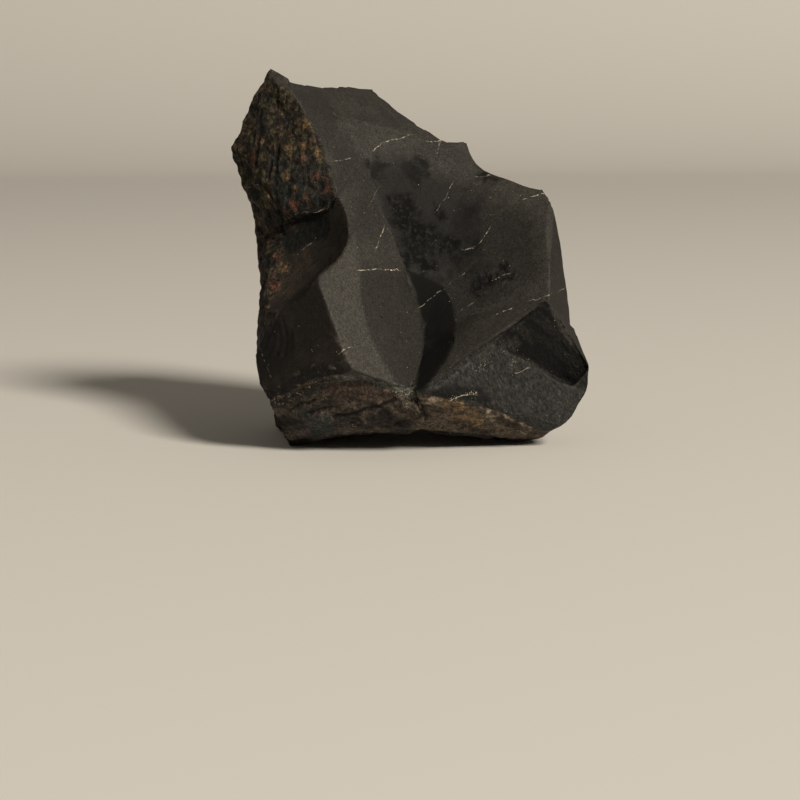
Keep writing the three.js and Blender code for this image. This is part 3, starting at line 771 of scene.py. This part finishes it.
gloss.inputs["IOR"].default_value = 1.5
gloss.inputs["Specular IOR Level"].default_value = 0.24
matt = add("ShaderNodeMapRange", {"Value": mask["dull"], "To Min": SCAR_ROUGH, "To Max": RIND_ROUGH})
tree.links.new(matt, gloss.inputs["Roughness"])
fine = add("ShaderNodeMath", {0: pattern["dust"], 1: DUST_HIGH}, operation="MULTIPLY")
fine = add("ShaderNodeMath", {0: pattern["ripple"], 1: RIPPLE_HIGH, 2: fine}, operation="MULTIPLY_ADD")
rugged = add("ShaderNodeMath", {0: pattern["crumb"], 1: CRUMB_HIGH}, operation="MULTIPLY")
height = add("ShaderNodeMath", {0: rugged, 1: mask["rough"], 2: fine}, operation="MULTIPLY_ADD")
ring = add("ShaderNodeMath", {0: mask["wall_rim"], 1: 2 * math.pi / STRIA_STEP}, operation="MULTIPLY")
wave = add("ShaderNodeMath", {0: ring}, operation="SINE")
striae = add("ShaderNodeMath", {0: wave, 1: STRIA_HIGH}, operation="MULTIPLY")
height = add("ShaderNodeMath", {0: striae, 1: mask["wall_gate"], 2: height}, operation="MULTIPLY_ADD")
height = add("ShaderNodeMath", {0: pattern["brush"], 1: mask["brushed"], 2: height}, operation="MULTIPLY_ADD")
bump = add("ShaderNodeBump", {"Height": height, "Strength": 1.0, "Distance": MM}, out="Normal")
tree.links.new(bump, gloss.inputs["Normal"])
stone_mesh.materials.clear()
stone_mesh.materials.append(shungite)
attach(stone, "root")
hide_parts("shungite_stone")
print(len(tree.nodes), "nodes in the stone's material")

# %% [markdown]
# ## Floor and light
# A sheet of pale paper lies under the block and curves up behind it, so there is no
# line where floor meets wall. One large soft lamp stands far off at the front right,
# and a dim warm sky fills the shadows. A harder lamp would make the stone look wet.

# %% Paper sweep
PAPER_HALF = 3.0                # metres, half the width of the sheet
PAPER_BEND = 1.0                # metres, the radius of its bend

sweep = bmesh.new()
bmesh.ops.create_grid(sweep, x_segments=1, y_segments=1, size=PAPER_HALF)
far_edge = [e for e in sweep.edges if all(v.co.y > 0 for v in e.verts)]
bmesh.ops.spin(sweep, geom=far_edge, cent=(0, PAPER_HALF, PAPER_BEND), axis=(1, 0, 0),
               angle=math.radians(90), steps=24)
for face in sweep.faces:
    face.smooth = True
paper_floor = bpy.data.objects.new("paper_floor", bpy.data.meshes.new("paper_floor"))
sweep.to_mesh(paper_floor.data)
sweep.free()
bpy.context.scene.collection.objects.link(paper_floor)
paper = bpy.data.materials.new("uncoated_paper")
paper.use_nodes = True
paper_gloss = paper.node_tree.nodes["Principled BSDF"]
paper_gloss.inputs["Base Color"].default_value = linear("#e6e3dd")
paper_gloss.inputs["Roughness"].default_value = 0.9
paper_floor.data.materials.append(paper)
print("paper sweep", 2 * PAPER_HALF, "m wide")

# %% Lamps
LAMP_AIM = Vector((0.0, 0.0, 0.09))
KEY_FROM = Vector((0.511, -0.661, 0.549))
KEY_AWAY, KEY_SIZE, KEY_POWER = 8.0, 2.1, 680.0               # metres, metres and watts

key_data = bpy.data.lights.new("key", "AREA")
key_data.shape = "DISK"
key_data.size = KEY_SIZE
key_data.energy = KEY_POWER
key_data.color = linear("#fff6e8")[:3]
key = bpy.data.objects.new("key", key_data)
key.location = LAMP_AIM + KEY_FROM.normalized() * KEY_AWAY
key.rotation_euler = (-KEY_FROM).to_track_quat("-Z", "Y").to_euler()
bpy.context.scene.collection.objects.link(key)
world = bpy.data.worlds.new("studio")
world.use_nodes = True
world.node_tree.nodes["Background"].inputs["Color"].default_value = linear("#fbf1e0")
world.node_tree.nodes["Background"].inputs["Strength"].default_value = 0.14
bpy.context.scene.world = world
bpy.context.scene.view_settings.view_transform = "Standard"
print("key lamp at", [round(v, 2) for v in key.location])
